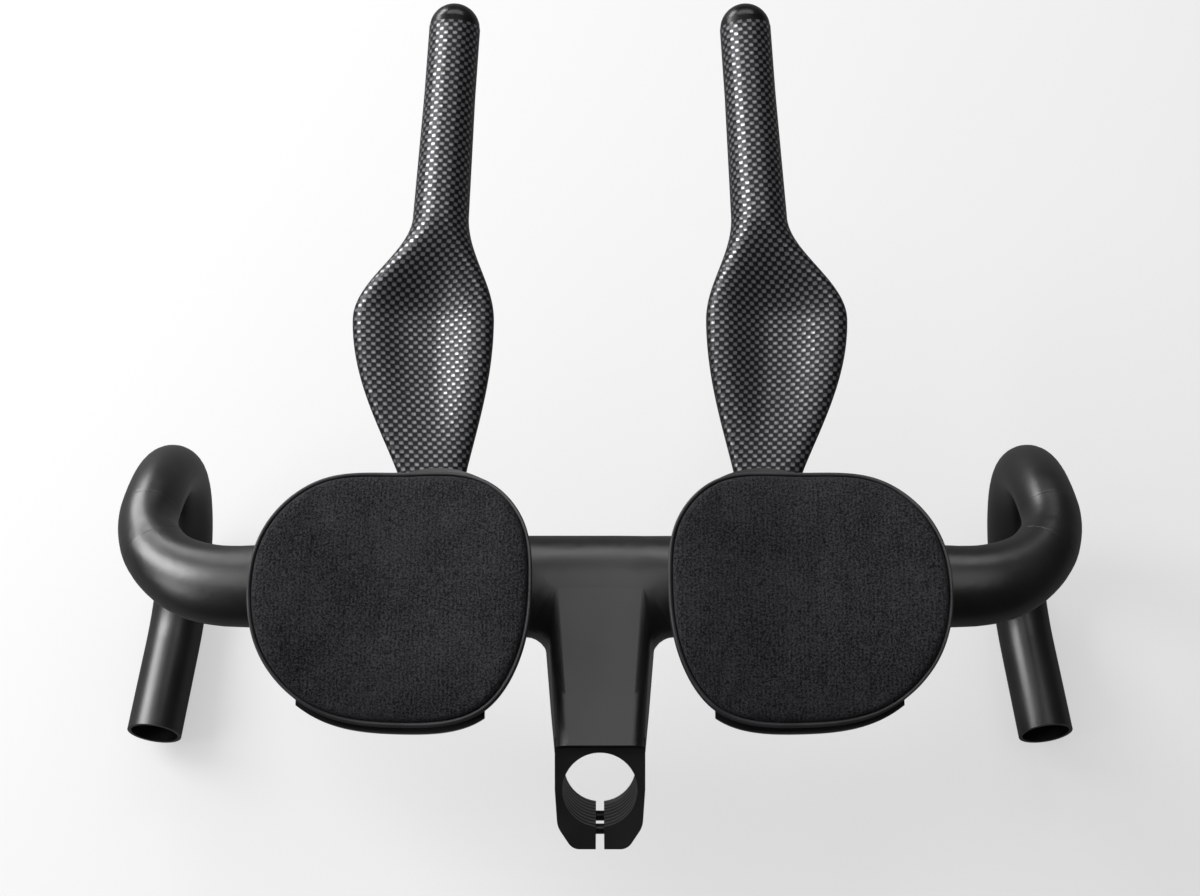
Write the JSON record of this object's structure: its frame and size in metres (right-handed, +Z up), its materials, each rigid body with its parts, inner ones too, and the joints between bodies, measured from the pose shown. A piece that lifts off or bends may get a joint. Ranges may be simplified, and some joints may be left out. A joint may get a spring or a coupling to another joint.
{
  "type": "aero handlebar extension",
  "caption": "Aero drop handlebar moulded in one piece with its stem, carrying dished arm-rest extensions with cushioned cups, grip tubes and end caps.",
  "frame": {"origin": "on the steerer axis at mid height of its clamp", "axes": "+X to the rider's right, +Y forward, +Z up, with the bar level as it is ridden"},
  "size_m": [0.418, 0.3255, 0.2064],
  "materials": {
    "satin_carbon": "satin clear coat over carbon",
    "gloss_carbon": "glossy clear coat over woven carbon",
    "black_rubber": "smooth",
    "pad_fabric": "napped fabric over foam",
    "black_alloy": "black anodised",
    "black_steel": "black oxide"
  },
  "bodies": {
    "root": {"bar_and_stem": "satin_carbon", "steerer_clamp_bolts": "black_steel", "steerer_clamp_nuts": "black_steel", "left_extension": "gloss_carbon", "left_end_cap": "black_rubber", "left_arm_pad": "pad_fabric", "left_pad_strips": "pad_fabric", "left_arm_cup": "satin_carbon", "left_cup_bolts": "black_steel", "left_clamp_saddle": "black_alloy", "left_clamp_cap": "black_alloy", "left_clamp_bolts": "black_steel", "right_extension": "gloss_carbon", "right_end_cap": "black_rubber", "right_arm_pad": "pad_fabric", "right_pad_strips": "pad_fabric", "right_arm_cup": "satin_carbon", "right_cup_bolts": "black_steel", "right_clamp_saddle": "black_alloy", "right_clamp_cap": "black_alloy", "right_clamp_bolts": "black_steel"}
  },
  "joints": []
}
